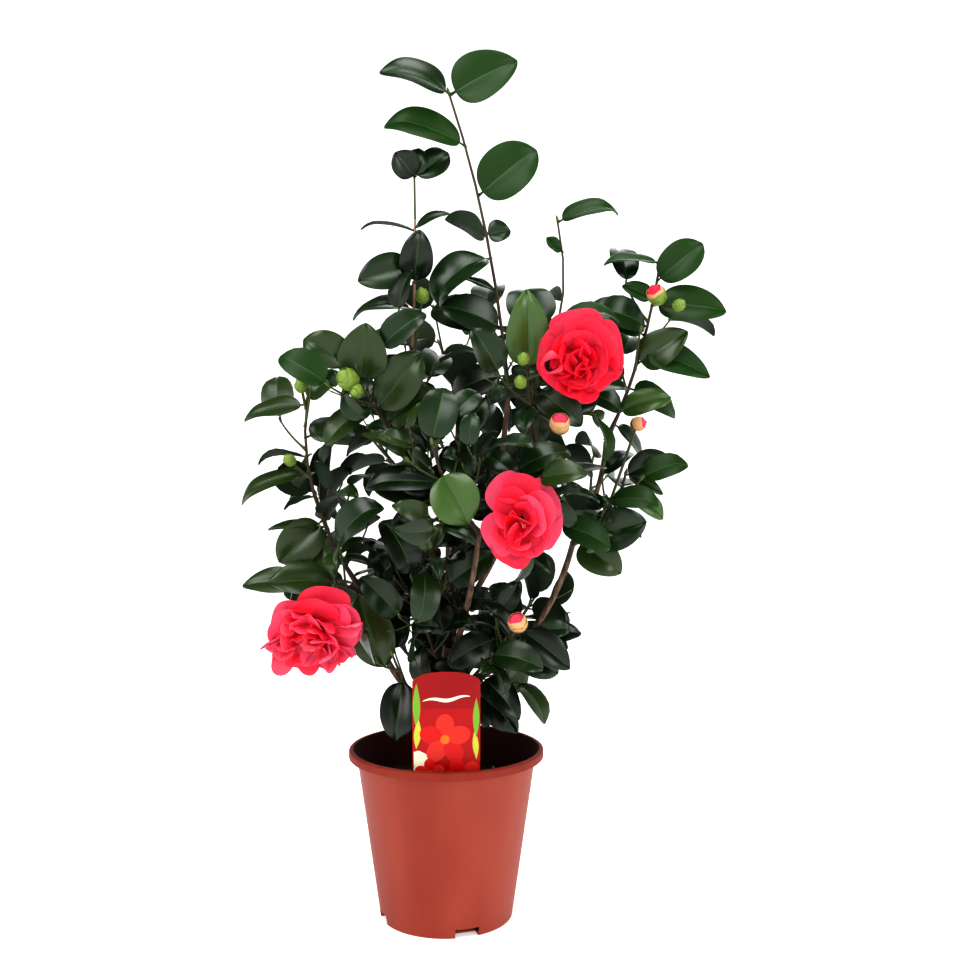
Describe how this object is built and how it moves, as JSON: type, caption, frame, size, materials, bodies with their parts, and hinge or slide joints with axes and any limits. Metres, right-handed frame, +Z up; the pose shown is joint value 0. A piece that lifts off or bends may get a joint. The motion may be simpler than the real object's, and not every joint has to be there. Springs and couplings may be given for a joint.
{
  "type": "potted camellia shrub",
  "caption": "Evergreen camellia shrub in flower in a round tapered nursery pot with a care label, for patios and indoor displays.",
  "frame": {"origin": "centre of the pot's flat underside, which stands on the floor", "axes": "+Z up along the pot's axis; -Y is the front, with the label and the open flowers; +X is to the right seen from the front"},
  "size_m": [0.3707, 0.2608, 0.6637],
  "materials": {
    "pot_plastic": "injection-moulded terracotta-red polypropylene, soft satin, duller along the lip",
    "potting_mix": "moist dark peat and bark mix, rough and matt",
    "label_card": "printed thin plastic card, red with green and cream patches, light gloss",
    "bark": "smooth grey-brown young bark with fine cracks, matt",
    "foliage": "leathery glossy dark green leaves, duller and paler beneath, with green bud scales",
    "petals": "soft satin coral-red petals, paler and pinker where they are thin"
  },
  "bodies": {
    "root": {"pot": "pot_plastic", "potting_mix": "potting_mix", "care_label": "label_card", "trunk": "bark", "bough_left": "bark", "bough_right": "bark", "bough_front": "bark", "bough_back": "bark", "bough_crown_left": "bark", "bough_crown_right": "bark", "bough_crown_front": "bark", "bough_crown_back": "bark", "bough_right_upper": "bark", "foliage_leader": "foliage", "foliage_second_leader": "foliage", "foliage_thin_leader": "foliage", "foliage_left_upper": "foliage", "foliage_left_outer": "foliage", "foliage_left_low": "foliage", "foliage_right_upper": "foliage", "foliage_right_outer": "foliage", "foliage_right_low": "foliage", "foliage_crown_front": "foliage", "foliage_front": "foliage", "foliage_front_right": "foliage", "foliage_low_right": "foliage", "foliage_low_left": "foliage", "foliage_low_back": "foliage", "foliage_low_back_left": "foliage", "foliage_low_back_right": "foliage", "foliage_centre": "foliage", "foliage_centre_low": "foliage", "foliage_centre_right": "foliage", "foliage_left_back": "foliage", "foliage_right_back": "foliage", "foliage_back_left": "foliage", "foliage_back_right": "foliage", "foliage_back_upper": "foliage", "foliage_back_crown_right": "foliage"}
  },
  "joints": []
}
